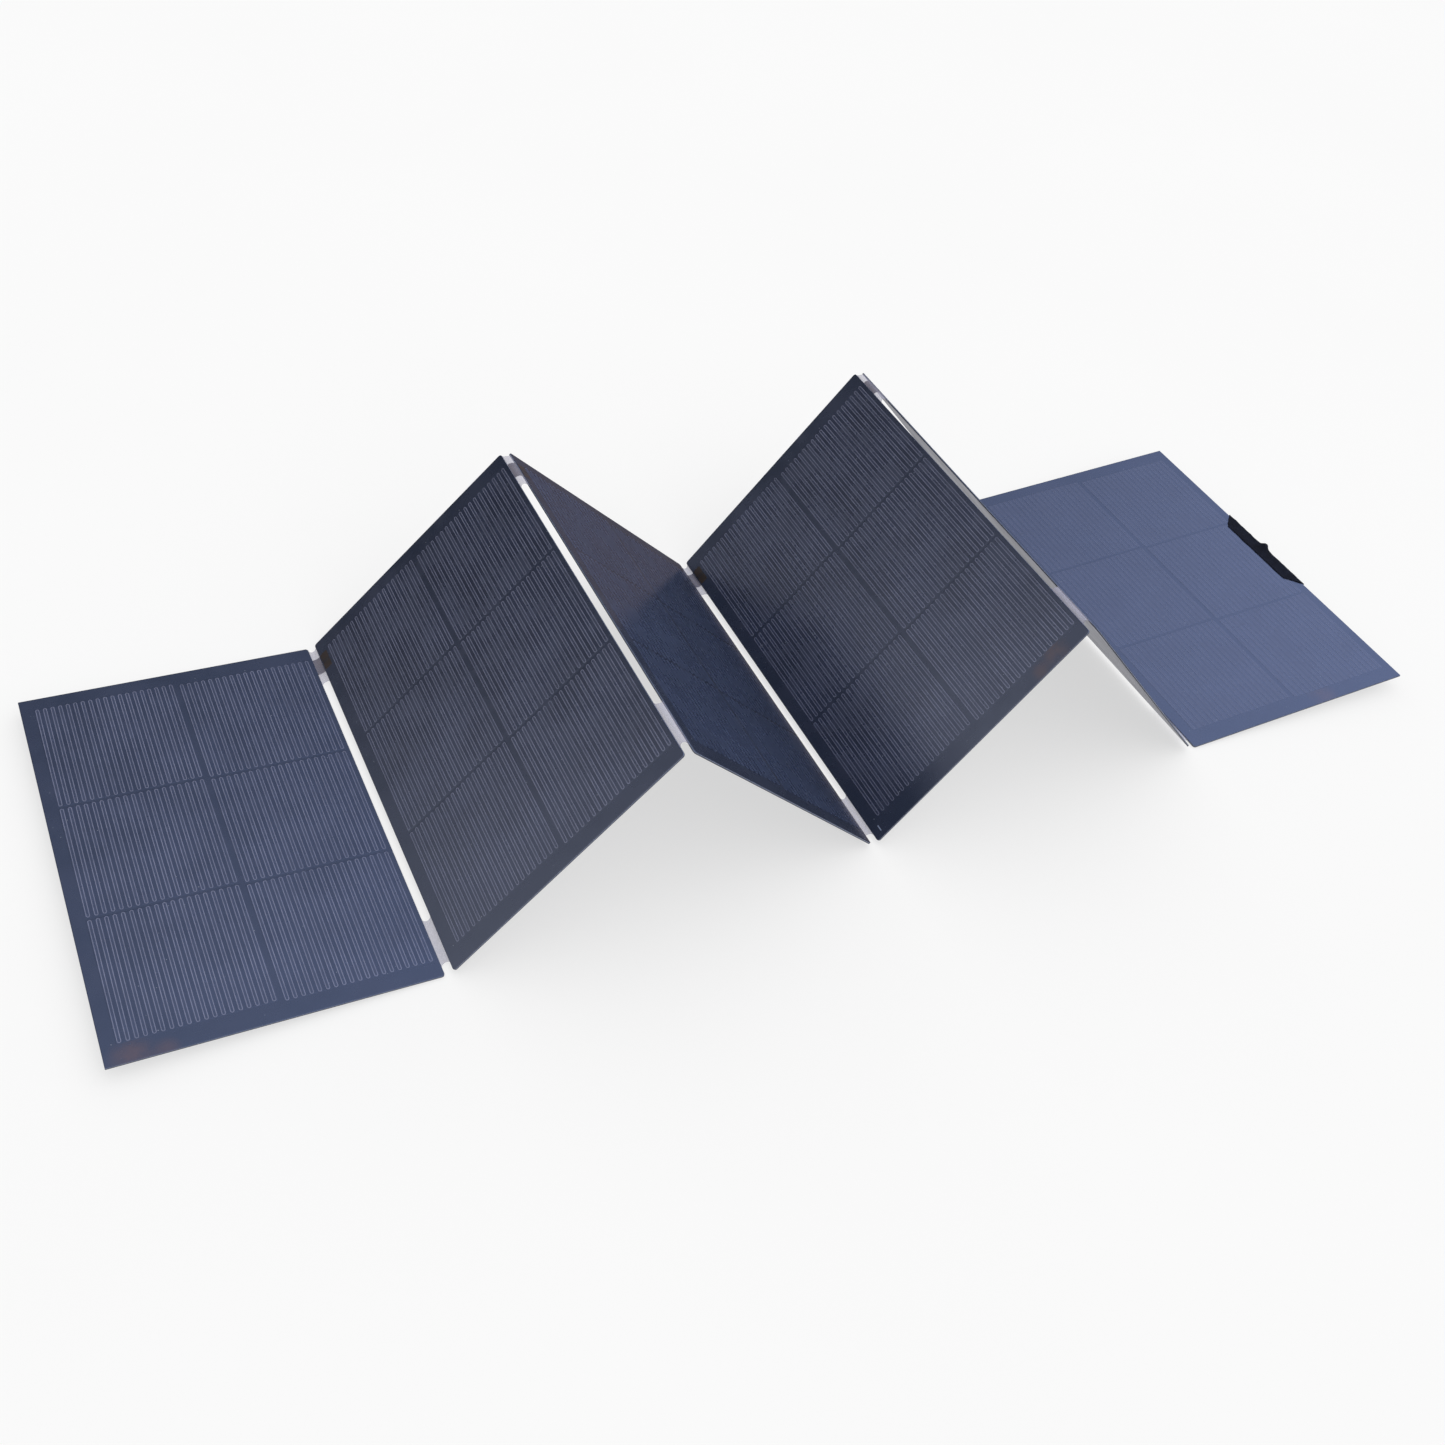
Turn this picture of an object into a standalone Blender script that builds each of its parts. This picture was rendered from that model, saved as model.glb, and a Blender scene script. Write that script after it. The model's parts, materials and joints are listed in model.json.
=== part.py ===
"""Folding solar panel: six thin laminated leaves in a row, joined by creased film hinges.

Each leaf is a sandwich of a back film, two thin-film cell strips and a clear front film. A copper
bus ribbon runs under the strips along the far side, and a short link joins the two strips at the
near side. Two tabs of clear film bridge each gap between leaves, one near each end, with a long
open slot between them. Black cloth tape covers the output terminals on the last leaf's free edge.

The panel stands half folded, as a zig-zag. The creases run along Y, the leaves follow each other
along X, and the origin is at the middle of the bottom of the whole object. Metres, +Z up.
"""
import math

import bmesh
import bpy
from mathutils import Vector

# Leaves
LEAF_WIDTH = 0.150  # across the creases
LEAF_LENGTH = 0.240  # along the creases
HINGE_GAP = 0.005  # between the edges of two leaves laid flat
CORNER_RADIUS = 0.0015  # at the hinged edges
FREE_CORNER_RADIUS = 0.0003  # at the two outermost edges

# Rest pose: the slope of each leaf, in degrees, rising towards +X
LEAF_SLOPES = (-2.74, 43.86, -43.86, 49.48, -49.48, 3.17)

# Layers, and the clearance between one layer and the next
FILM = 0.00025
CELL = 0.00025
RIBBON = 0.0001
LAYER_GAP = 0.00025
FOLDED_CLEARANCE = 0.0004  # from a leaf's face to the crease axis, so that folded leaves never touch

# Cell strips
LEFT_BORDER = 0.0066
RIGHT_BORDER = 0.0016
STRIP_SPACING = 0.0026  # the dark band between the two strips
STRIP_WIDTH = (LEAF_WIDTH - LEFT_BORDER - STRIP_SPACING - RIGHT_BORDER) / 2
FAR_BORDER = 0.0088
NEAR_BORDER = 0.0102
STRIP_STAGGER = 0.0014  # the right strip lies this much nearer than the left one

# Film hinges: how far each cut lies from the leaf's near or far edge
NEAR_NOTCH = 0.0070
NEAR_TAB_END = 0.0335
FAR_NOTCH = 0.0035
FAR_TAB_END = 0.0293
CREASE_GAP = 0.0003  # between the two halves of a tab
FIT_GAP = 0.0003  # between pieces that lie side by side
ROOT_IN_RIGHT_BORDER = RIGHT_BORDER - FIT_GAP  # how deep a tab is laminated into its left leaf
ROOT_IN_LEFT_BORDER = 0.0030  # and into its right leaf
ARC_STEPS = 5

# Copper
RIBBON_WIDTH = 0.0120
RIBBON_FROM_FAR = 0.0160  # from the far edge to the ribbon's middle
RIBBON_END = 0.0100  # where the ribbon stops short of a free edge
LINK_LENGTH = 0.0160
LINK_WIDTH = 0.0060
LINK_FROM_NEAR = 0.0200
TERMINAL_WIDTH = 0.0060
TERMINAL_SPACING = 0.0240
TERMINAL_INSIDE = 0.0100
TERMINAL_OUTSIDE = 0.0012

# Cloth tape
TAPE = 0.0003
TAPE_LENGTH = 0.0756  # along the leaf's edge
TAPE_INNER_LENGTH = 0.0560  # along the flap's inner edge, because its corners are cut off
TAPE_FLAP = 0.0080  # how far it laps onto each face
TAPE_CENTRE = 0.0064  # its middle, from the middle of the leaf

# Heights of the layers, from the leaf's mid-plane
STACK = 2 * FILM + CELL + RIBBON + 3 * LAYER_GAP
BACK_BASE = -STACK / 2
RIBBON_BASE = BACK_BASE + FILM + LAYER_GAP
CELL_BASE = RIBBON_BASE + RIBBON + LAYER_GAP
FRONT_BASE = CELL_BASE + CELL + LAYER_GAP
CREASE_OFFSET = STACK / 2 + FOLDED_CLEARANCE

# Colour, roughness and metallic value of each material
FINISHES = {
    "front_film": ((0.055, 0.075, 0.130), 0.18, 0.0),
    "back_film": ((0.120, 0.125, 0.140), 0.45, 0.0),
    "cell": ((0.035, 0.045, 0.085), 0.30, 0.0),
    "hinge_film": ((0.560, 0.560, 0.660), 0.25, 0.0),
    "copper": ((0.420, 0.260, 0.140), 0.35, 1.0),
    "cloth_tape": ((0.012, 0.013, 0.018), 0.80, 0.0),
}


def clear_scene():
    for thing in list(bpy.data.objects):
        bpy.data.objects.remove(thing, do_unlink=True)


def finish(name):
    """The named material, made the first time it is asked for."""
    found = bpy.data.materials.get(name)
    if found:
        return found
    colour, roughness, metallic = FINISHES[name]
    made = bpy.data.materials.new(name)
    made.use_nodes = True
    shader = made.node_tree.nodes["Principled BSDF"]
    shader.inputs["Base Color"].default_value = (*colour, 1.0)
    shader.inputs["Roughness"].default_value = roughness
    shader.inputs["Metallic"].default_value = metallic
    made.diffuse_color = (*colour, 1.0)
    return made


def add_frame(name, parent, location, rise):
    """An empty that carries a leaf. Its X axis climbs by `rise` degrees from its parent's."""
    frame = bpy.data.objects.new(name, None)
    frame.empty_display_size = 0.02
    frame.parent = parent
    frame.location = location
    frame.rotation_euler = (0.0, -math.radians(rise), 0.0)
    bpy.context.collection.objects.link(frame)
    return frame


def add_piece(name, shape, parent, location, material):
    """A bmesh made into a named object at `location` in its parent's frame."""
    bmesh.ops.recalc_face_normals(shape, faces=shape.faces)
    mesh = bpy.data.meshes.new(name)
    shape.to_mesh(mesh)
    shape.free()
    mesh.materials.append(finish(material))
    mesh.shade_smooth()
    mesh.set_sharp_from_angle(angle=math.radians(30))
    piece = bpy.data.objects.new(name, mesh)
    piece.parent = parent
    piece.location = location
    bpy.context.collection.objects.link(piece)
    return piece


def plate(outline, thickness):
    """A flat sheet: the outline in X and Y, drawn up from z = 0."""
    shape = bmesh.new()
    base = shape.faces.new([shape.verts.new((x, y, 0.0)) for x, y in outline])
    drawn = bmesh.ops.extrude_face_region(shape, geom=[base])
    top = [item for item in drawn["geom"] if isinstance(item, bmesh.types.BMVert)]
    bmesh.ops.translate(shape, verts=top, vec=(0.0, 0.0, thickness))
    return shape


def rectangle(low_x, high_x, low_y, high_y):
    return [(low_x, low_y), (high_x, low_y), (high_x, high_y), (low_x, high_y)]


def quarter(centre_x, centre_y, radius, start):
    """Points on a quarter circle that begins at `start` degrees."""
    points = []
    for step in range(ARC_STEPS + 1):
        angle = math.radians(start + 90 * step / ARC_STEPS)
        points.append((centre_x + radius * math.cos(angle), centre_y + radius * math.sin(angle)))
    return points


def leaf_outline(left_radius, right_radius):
    """A leaf's sheet with rounded corners, from its left edge at x = 0."""
    half = LEAF_LENGTH / 2
    corners = (
        (left_radius, left_radius - half, left_radius, 180),
        (LEAF_WIDTH - right_radius, right_radius - half, right_radius, 270),
        (LEAF_WIDTH - right_radius, half - right_radius, right_radius, 0),
        (left_radius, half - left_radius, left_radius, 90),
    )
    return [point for corner in corners for point in quarter(*corner)]


def tab_outline(low_y, high_y, root, side):
    """Half of a hinge tab, measured from the crease at x = 0 into the leaf on that side.

    The slot and the notch beside the tab end in half circles as wide as the gap, so the tab
    widens towards the leaf. `side` is -1 for the leaf on the left and +1 for the one on the right.
    """
    radius = HINGE_GAP / 2
    first = math.asin(CREASE_GAP / 2 / radius)
    angles = [first + (math.pi / 2 - first) * step / ARC_STEPS for step in range(ARC_STEPS + 1)]
    near = [(radius * math.sin(a), low_y - radius + radius * math.cos(a)) for a in angles]
    far = [(radius * math.sin(a), high_y + radius - radius * math.cos(a)) for a in reversed(angles)]
    inner = [(radius + root, low_y - radius), (radius + root, high_y + radius)]
    return [(side * x, y) for x, y in near + inner + far]


def tape_channel(low_x, high_x, low_z, high_z):
    """Tape wrapped round an edge: a channel whose ends are cut along a slanting line."""
    slant = (TAPE_LENGTH - TAPE_INNER_LENGTH) / 2 / (high_x - low_x)
    profile = (
        (low_x, high_z),
        (high_x, high_z),
        (high_x, low_z),
        (low_x, low_z),
        (low_x, low_z + TAPE),
        (high_x - TAPE, low_z + TAPE),
        (high_x - TAPE, high_z - TAPE),
        (low_x, high_z - TAPE),
    )
    shape = bmesh.new()
    ends = []
    for side in (-1, 1):
        reach = [TAPE_INNER_LENGTH / 2 + slant * (x - low_x) for x, _ in profile]
        ends.append([shape.verts.new((x, side * y, z)) for (x, z), y in zip(profile, reach)])
    near, far = ends
    for i in range(len(profile)):
        j = (i + 1) % len(profile)
        shape.faces.new((near[i], near[j], far[j], far[i]))
    shape.faces.new(near)
    shape.faces.new(far)
    return shape


def add_films(number, parent, offset, left_radius, right_radius):
    outline = leaf_outline(left_radius, right_radius)
    for name, base in (("back_film", BACK_BASE), ("front_film", FRONT_BASE)):
        place = offset + Vector((0.0, 0.0, base))
        add_piece(f"{name}_{number}", plate(outline, FILM), parent, place, name)


def add_cells(number, parent, offset):
    """The two cell strips, and the copper link that joins them under their near ends."""
    low_y = NEAR_BORDER - LEAF_LENGTH / 2
    high_y = LEAF_LENGTH / 2 - FAR_BORDER
    for name, index in (("left", 0), ("right", 1)):
        outline = rectangle(0.0, STRIP_WIDTH, low_y, high_y)
        x = LEFT_BORDER + index * (STRIP_WIDTH + STRIP_SPACING)
        y = STRIP_STAGGER * (0.5 - index)
        place = offset + Vector((x, y, CELL_BASE))
        add_piece(f"cell_strip_{number}_{name}", plate(outline, CELL), parent, place, "cell")
    link = rectangle(-LINK_LENGTH / 2, LINK_LENGTH / 2, -LINK_WIDTH / 2, LINK_WIDTH / 2)
    middle = LEFT_BORDER + STRIP_WIDTH + STRIP_SPACING / 2
    place = offset + Vector((middle, LINK_FROM_NEAR - LEAF_LENGTH / 2, RIBBON_BASE))
    add_piece(f"cell_link_{number}", plate(link, RIBBON), parent, place, "copper")


def add_ribbon(number, parent, offset, hinged_left, hinged_right):
    """The bus ribbon, from crease to crease, or short of an edge that has no hinge."""
    past_edge = (HINGE_GAP - CREASE_GAP) / 2
    low_x = -past_edge if hinged_left else RIBBON_END
    high_x = LEAF_WIDTH + past_edge if hinged_right else LEAF_WIDTH - RIBBON_END
    outline = rectangle(low_x, high_x, -RIBBON_WIDTH / 2, RIBBON_WIDTH / 2)
    place = offset + Vector((0.0, LEAF_LENGTH / 2 - RIBBON_FROM_FAR, RIBBON_BASE))
    add_piece(f"bus_ribbon_{number}", plate(outline, RIBBON), parent, place, "copper")


def add_tabs(hinge, parent, offset, side):
    """One leaf's half of both film tabs of a hinge. `side` is -1 for the leaf on its left."""
    half = LEAF_LENGTH / 2
    crease_x = LEAF_WIDTH + HINGE_GAP / 2 if side < 0 else -HINGE_GAP / 2
    root = ROOT_IN_RIGHT_BORDER if side < 0 else ROOT_IN_LEFT_BORDER
    spans = (
        ("far", half - FAR_TAB_END, half - FAR_NOTCH),
        ("near", NEAR_NOTCH - half, NEAR_TAB_END - half),
    )
    for end, low_y, high_y in spans:
        shape = plate(tab_outline(low_y, high_y, root, side), FILM)
        name = f"hinge_{hinge}_{end}_film_{'left' if side < 0 else 'right'}"
        add_piece(name, shape, parent, offset + Vector((crease_x, 0.0, CELL_BASE)), "hinge_film")


def add_output(parent, offset):
    """The two output terminals on the last leaf's free edge, and the tape that covers them."""
    half = TERMINAL_WIDTH / 2
    outline = rectangle(-TERMINAL_INSIDE, TERMINAL_OUTSIDE, -half, half)
    for name, sign in (("positive", 1), ("negative", -1)):
        y = TAPE_CENTRE + sign * TERMINAL_SPACING / 2
        place = offset + Vector((LEAF_WIDTH, y, RIBBON_BASE))
        shape = plate(outline, RIBBON)
        add_piece(f"output_terminal_{name}", shape, parent, place, "copper")
    wall = TERMINAL_OUTSIDE + FIT_GAP + TAPE
    reach = STACK / 2 + LAYER_GAP + TAPE
    shape = tape_channel(-TAPE_FLAP, wall, -reach, reach)
    place = offset + Vector((LEAF_WIDTH, TAPE_CENTRE, 0.0))
    add_piece("edge_tape", shape, parent, place, "cloth_tape")


def stand_on_origin(root):
    """Move the whole object so that the middle of its bottom is at the origin."""
    bpy.context.view_layer.update()
    points = []
    for thing in bpy.data.objects:
        if thing.type == "MESH":
            points += [thing.matrix_world @ vertex.co for vertex in thing.data.vertices]
    low = [min(point[axis] for point in points) for axis in range(3)]
    high = [max(point[axis] for point in points) for axis in range(3)]
    root.location -= Vector(((low[0] + high[0]) / 2, (low[1] + high[1]) / 2, low[2]))


def build():
    clear_scene()
    count = len(LEAF_SLOPES)
    root = frame = add_frame("leaf_1_frame", None, (0.0, 0.0, 0.0), LEAF_SLOPES[0])
    offset = Vector((0.0, 0.0, 0.0))
    for number in range(1, count + 1):
        first = number == 1
        last = number == count
        left_radius = FREE_CORNER_RADIUS if first else CORNER_RADIUS
        right_radius = FREE_CORNER_RADIUS if last else CORNER_RADIUS
        add_films(number, frame, offset, left_radius, right_radius)
        add_cells(number, frame, offset)
        add_ribbon(number, frame, offset, not first, not last)
        if not first:
            add_tabs(number - 1, frame, offset, 1)
        if last:
            add_output(frame, offset)
            continue
        add_tabs(number, frame, offset, -1)
        fold = LEAF_SLOPES[number] - LEAF_SLOPES[number - 1]
        # the axis is above the leaves where they fold up, and below them where they fold down
        height = math.copysign(CREASE_OFFSET, fold)
        axis = offset + Vector((LEAF_WIDTH + HINGE_GAP / 2, 0.0, height))
        frame = add_frame(f"crease_{number}", frame, axis, fold)
        offset = Vector((HINGE_GAP / 2, 0.0, -height))
    stand_on_origin(root)


build()
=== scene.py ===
"""Looks of the folding solar panel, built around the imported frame. Metres, +Z up.

Each leaf's pieces are modelled in the leaf's own coordinates: x across the creases from the leaf's
left edge, y along the creases from the leaf's middle towards the far side, z up from its mid-plane.
"""
import json
import math

import bpy
from mathutils import Euler, Matrix, Vector, noise


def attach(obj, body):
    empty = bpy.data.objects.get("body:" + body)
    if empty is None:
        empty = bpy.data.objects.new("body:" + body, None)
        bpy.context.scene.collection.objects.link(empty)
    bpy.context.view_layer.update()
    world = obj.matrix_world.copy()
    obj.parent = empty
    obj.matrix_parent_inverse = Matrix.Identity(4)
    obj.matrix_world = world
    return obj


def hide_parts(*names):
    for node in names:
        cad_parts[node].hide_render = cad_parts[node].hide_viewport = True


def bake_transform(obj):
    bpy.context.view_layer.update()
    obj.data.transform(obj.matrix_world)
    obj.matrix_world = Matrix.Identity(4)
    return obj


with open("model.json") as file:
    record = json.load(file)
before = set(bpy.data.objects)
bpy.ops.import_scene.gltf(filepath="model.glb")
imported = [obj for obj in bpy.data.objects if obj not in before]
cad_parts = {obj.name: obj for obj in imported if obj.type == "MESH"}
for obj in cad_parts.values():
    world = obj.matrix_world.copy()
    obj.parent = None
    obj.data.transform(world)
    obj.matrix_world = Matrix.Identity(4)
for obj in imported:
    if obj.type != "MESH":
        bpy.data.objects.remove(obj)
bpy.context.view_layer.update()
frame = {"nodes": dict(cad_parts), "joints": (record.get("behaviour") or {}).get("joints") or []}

# Sizes shared with the frame
LEAF_COUNT = 6
LEAF_WIDTH = 0.150
LEAF_LENGTH = 0.240
HALF = LEAF_LENGTH / 2
HINGE_GAP = 0.005
CREASE_OFFSET = 0.0012
LEAF_SLOPES = (-2.74, 43.86, -43.86, 49.48, -49.48, 3.17)  # degrees, rising towards +X
CORNER = 0.0015  # radius at the hinged edges
FREE_CORNER = 0.0003
LEFT_BORDER = 0.0066
RIGHT_BORDER = 0.0016
STRIP_SPACING = 0.0026
STRIP_WIDTH = (LEAF_WIDTH - LEFT_BORDER - STRIP_SPACING - RIGHT_BORDER) / 2
FAR_BORDER = 0.0088
NEAR_BORDER = 0.0102
STAGGER = 0.0014  # how much nearer the right strip lies than the left one
RIBBON_FROM_FAR = 0.0160
RIBBON_WIDTH = 0.0120
TABS = (("far", HALF - 0.0293, HALF - 0.0035), ("near", 0.0070 - HALF, 0.0335 - HALF))
TAPE_CENTRE = 0.0064

# Drawn leaves: how far a hinged edge reaches past the frame's, and the heights of the layers
EDGE_REACH = 0.0005
BACK_LOW = -0.00050
BACK_TOP = -0.00032
FACE = 0.00050
CELL_FACE = 0.00052
BAND_FACE = 0.00054
LINE_FACE = 0.00057
PRINT_SINK = 0.00002  # how deep the foot of a small print lies in the film
PLATE_SINK = 0.00003

# Rounding of the edges
LAMINATE_BEVEL = 0.00018
BACK_BEVEL = 0.00006
PLATE_BEVEL = 0.00001
BEVEL_STEPS = 3
RIM = 0.0003  # a flat rim inside each rounded edge keeps the wide faces flat in their shading
LEAST_RADIUS = 0.00004

# Low steps on the back, over the strips and the ribbon
STRIP_STEP = 0.00004
RIBBON_STEP = 0.00007
STRIP_STEP_INSET = 0.0004
RIBBON_STEP_INSET = 0.0006
STEP_CORNER = 0.0008
STEP_PROFILE = ((0.0015, 1.0), (0.0007, 1.0), (0.0003, 0.7))  # inset, share of the height

# Grid of the cells
ROWS = 3
ROW_GAP = 0.0014
CELL_CORNER = 0.0004
PAIRS = 19
PAIR_PITCH = 0.00371
PAIR_INSET = 0.00150
PAIR_END = 0.0002
LINE_WIDTH = 0.00040
LINE_SPREAD = 0.00148
UTURN_STEPS = 5
DOT_OFFSET = 0.0004
DOT_RADIUS = 0.00019
DOT_SPAN = (0.0019, 0.0012)  # below the strip's near end
# Painted light: a small pale raised mark on leaf 4, in the pale edge finish, standing for a slit of
# light
LIGHT_MARK_LEAF = 4
LIGHT_MARK_X = 0.0044
LIGHT_MARK_SPAN = (0.0032, 0.0070)  # from the near edge
LIGHT_MARK_RADIUS = 0.00030

# End of the ribbon under the left border
PAD_LEFT = 0.0002
PAD_RIGHT = 0.0053
PAD_GAP = 0.0010
PAD_LAP = 0.0002
PAD_CORNERS = (0.0003, 0.0005)

# Hinges
HINGE_ROOT = 0.0010
HINGE_STEPS = 18
HINGE_FULLNESS = 0.62
HINGE_FILM = 0.00030
HINGE_COPPER = 0.00010

# Cloth tape
TAPE_FLAP = 0.0080
TAPE_WRAP = 0.00072
TAPE_OUTER = 0.0756
TAPE_INNER = 0.0560
TAPE_HALF_THICKNESS = 0.00015
TAPE_ACROSS = 44
TAPE_ALONG = 150
PINCH = 0.0026

# Camera
CAMERA_PLACE = (-0.3488, -0.5640, 0.6154)
CAMERA_TURN = (45.94, -5.28, -25.26)
CAMERA_LENS = 40.36

creases = {joint["name"]: Vector(joint["pos_m"]) for joint in frame["joints"]}


# ---------------------------------------------------------------- leaf coordinates

def axes(number):
    """A leaf's direction across the creases, and its normal."""
    slope = math.radians(LEAF_SLOPES[number - 1])
    return (Vector((math.cos(slope), 0.0, math.sin(slope))),
            Vector((-math.sin(slope), 0.0, math.cos(slope))))


def crease_height(hinge):
    """How far the crease axis lies above the mid-plane. It is negative at a ridge."""
    return math.copysign(CREASE_OFFSET, LEAF_SLOPES[hinge] - LEAF_SLOPES[hinge - 1])


def leaf_matrix(number):
    across, normal = axes(number)
    hinge = max(number - 1, 1)
    reach = -(LEAF_WIDTH + HINGE_GAP / 2) if number == 1 else HINGE_GAP / 2
    origin = creases[f"crease_{hinge}"] + across * reach - normal * crease_height(hinge)
    columns = (across, Vector((0.0, 1.0, 0.0)), normal)
    rotation = Matrix([[column[row] for column in columns] for row in range(3)])
    return Matrix.Translation(origin) @ rotation.to_4x4()


PLACES = {number: leaf_matrix(number) for number in range(1, LEAF_COUNT + 1)}


# ---------------------------------------------------------------- meshes

def rim_of(grid):
    """The vertex numbers round the outside of a grid."""
    return (grid[0] + [row[-1] for row in grid[1:]]
            + grid[-1][-2::-1] + [row[0] for row in grid[-2:0:-1]])


class Shape:
    """Vertices and faces gathered for one piece."""

    def __init__(self):
        self.points = []
        self.faces = []
        self.slots = []

    def face(self, indices, slot=0):
        self.faces.append(tuple(indices))
        self.slots.append(slot)

    def loop(self, outline, z):
        start = len(self.points)
        self.points += [(x, y, z) for x, y in outline]
        return list(range(start, start + len(outline)))

    def wall(self, lower, upper, slot=0):
        """Quads between two loops of the same length that run anticlockwise from above."""
        count = len(lower)
        for i in range(count):
            j = (i + 1) % count
            self.face((lower[i], lower[j], upper[j], upper[i]), slot)

    def raised(self, outline, low, high, slot=0):
        """A small flat-topped shape with upright sides."""
        foot = self.loop(outline, low)
        head = self.loop(outline, high)
        self.wall(foot, head, slot)
        self.face(head, slot)
        self.face(reversed(foot), slot)

    def sheet(self, upper, lower):
        """A closed sheet: two grids of vertex numbers and the rim between them."""
        for first, second in zip(upper, upper[1:]):
            for i in range(len(first) - 1):
                self.face((first[i], second[i], second[i + 1], first[i + 1]))
        for first, second in zip(lower, lower[1:]):
            for i in range(len(first) - 1):
                self.face((first[i], first[i + 1], second[i + 1], second[i]))
        self.wall(rim_of(upper), rim_of(lower))


def make(name, shape, materials, place=None, angle=35):
    mesh = bpy.data.meshes.new(name)
    mesh.from_pydata(shape.points, [], shape.faces)
    for material in materials:
        mesh.materials.append(material)
    mesh.polygons.foreach_set("material_index", shape.slots)
    mesh.validate()
    mesh.shade_smooth()
    mesh.set_sharp_from_angle(angle=math.radians(angle))
    made = bpy.data.objects.new(name, mesh)
    bpy.context.scene.collection.objects.link(made)
    if place is not None:
        made.matrix_world = place
    return made


def add_piece(name, shape, materials, number, replaced=(), angle=35):
    """Make a piece in a leaf's coordinates, and declare what it rides on and stands for."""
    piece = make(name, shape, materials, PLACES[number], angle)
    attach(piece, f"leaf_{number}")
    if replaced:
        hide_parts(*replaced)


def rounded(low_x, high_x, low_y, high_y, left, right, inset=0.0, steps=5):
    """A rectangle with rounded corners, anticlockwise from above. left and right are the radii."""
    left = max(left - inset, LEAST_RADIUS)
    right = max(right - inset, LEAST_RADIUS)
    low_x, high_x, low_y, high_y = low_x + inset, high_x - inset, low_y + inset, high_y - inset
    corners = (
        (low_x + left, low_y + left, left, 180),
        (high_x - right, low_y + right, right, 270),
        (high_x - right, high_y - right, right, 0),
        (low_x + left, high_y - left, left, 90),
    )
    points = []
    for x, y, radius, start in corners:
        for step in range(steps + 1):
            angle = math.radians(start + 90 * step / steps)
            points.append((x + radius * math.cos(angle), y + radius * math.sin(angle)))
    return points


def racetrack(x, low_y, high_y, radius):
    """A long closed loop round the line x, with half-round ends."""
    points = []
    for centre, start in ((low_y + radius, 180), (high_y - radius, 0)):
        for step in range(UTURN_STEPS + 1):
            angle = math.radians(start + 180 * step / UTURN_STEPS)
            points.append((x + radius * math.cos(angle), centre + radius * math.sin(angle)))
    return points


def rounded_plate(shape, outline_at, low, high, bevel, side=0, top=0, bottom=0, under=True):
    """A plate with its top edge rounded, and its lower edge too if `under` is set.

    outline_at(inset) gives the outline. side, top and bottom are material slots.
    """
    levels = []  # inset, z, slot
    if under:
        levels.append((bevel + RIM, low, bottom))
        for step in range(BEVEL_STEPS):
            turn = math.pi / 2 * step / BEVEL_STEPS
            levels.append((bevel * (1 - math.sin(turn)), low + bevel * (1 - math.cos(turn)),
                           bottom))
        levels.append((0.0, low + bevel, side))
    else:
        levels.append((0.0, low, side))
    for step in range(BEVEL_STEPS + 1):
        turn = math.pi / 2 * step / BEVEL_STEPS
        slot = side if step == 0 else top
        levels.append((bevel * (1 - math.cos(turn)), high - bevel * (1 - math.sin(turn)), slot))
    levels.append((bevel + RIM, high, top))
    loops = [shape.loop(outline_at(inset), z) for inset, z, _ in levels]
    shape.face(reversed(loops[0]), bottom)
    for lower, upper, level in zip(loops, loops[1:], levels[1:]):
        shape.wall(lower, upper, level[2])
    shape.face(loops[-1], top)


# ---------------------------------------------------------------- materials

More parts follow.
